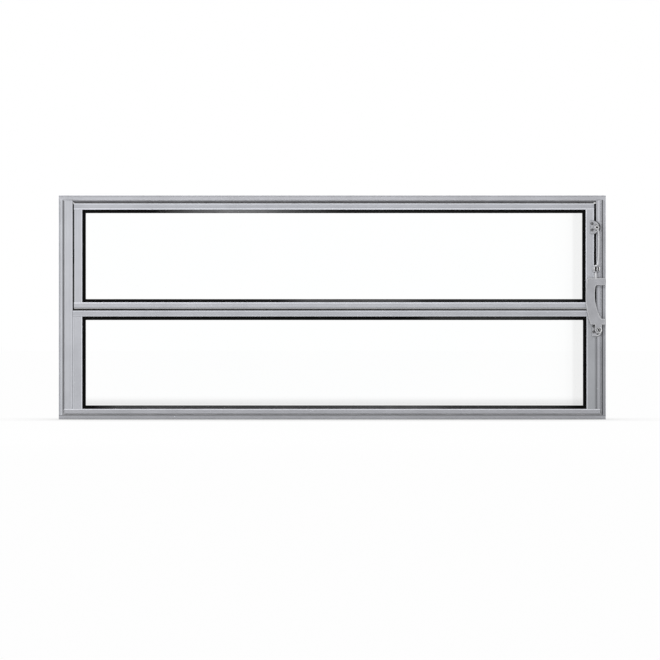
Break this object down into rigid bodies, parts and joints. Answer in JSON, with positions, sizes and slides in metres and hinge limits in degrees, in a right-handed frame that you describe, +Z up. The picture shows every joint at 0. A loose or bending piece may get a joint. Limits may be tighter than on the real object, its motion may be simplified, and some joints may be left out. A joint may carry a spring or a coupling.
{
  "type": "pivot window",
  "caption": "Wide aluminium pivot window with a tipping upper sash over a fixed lower light, a side lever and a link rod.",
  "frame": {"origin": "middle of the back face of the sill's wall flange", "axes": "+X to the right as seen from the room, +Y outdoors, +Z up"},
  "size_m": [1.016, 0.0398, 0.416],
  "materials": {
    "aluminium": "satin",
    "rubber": "matte",
    "glass": "clear",
    "steel": "bright",
    "nylon": "matte",
    "cast_metal": "satin"
  },
  "bodies": {
    "root": {"frame_head": "aluminium", "frame_sill": "aluminium", "frame_jamb_left": "aluminium", "frame_jamb_right": "aluminium", "transom": "aluminium", "fixed_stile_left": "aluminium", "fixed_stile_right": "aluminium", "sash_top_rail": "aluminium", "sash_bottom_rail": "aluminium", "sash_stile_left": "aluminium", "sash_stile_right": "aluminium", "fixed_gasket": "rubber", "sash_gasket": "rubber", "weather_seal_head": "rubber", "weather_seal_left": "rubber", "weather_seal_right": "rubber", "weather_seal_transom": "rubber", "fixed_glass": "glass", "sash_glass": "glass", "pivot_pin_left": "steel", "pivot_pin_right": "steel", "link_rod": "steel", "sash_bracket_pin": "steel", "lever_pin": "steel", "pivot_washer_left": "nylon", "pivot_washer_right": "nylon", "sash_bracket": "cast_metal", "lever_bracket": "cast_metal", "lever": "cast_metal", "rod_shackle": "cast_metal"}
  },
  "joints": []
}
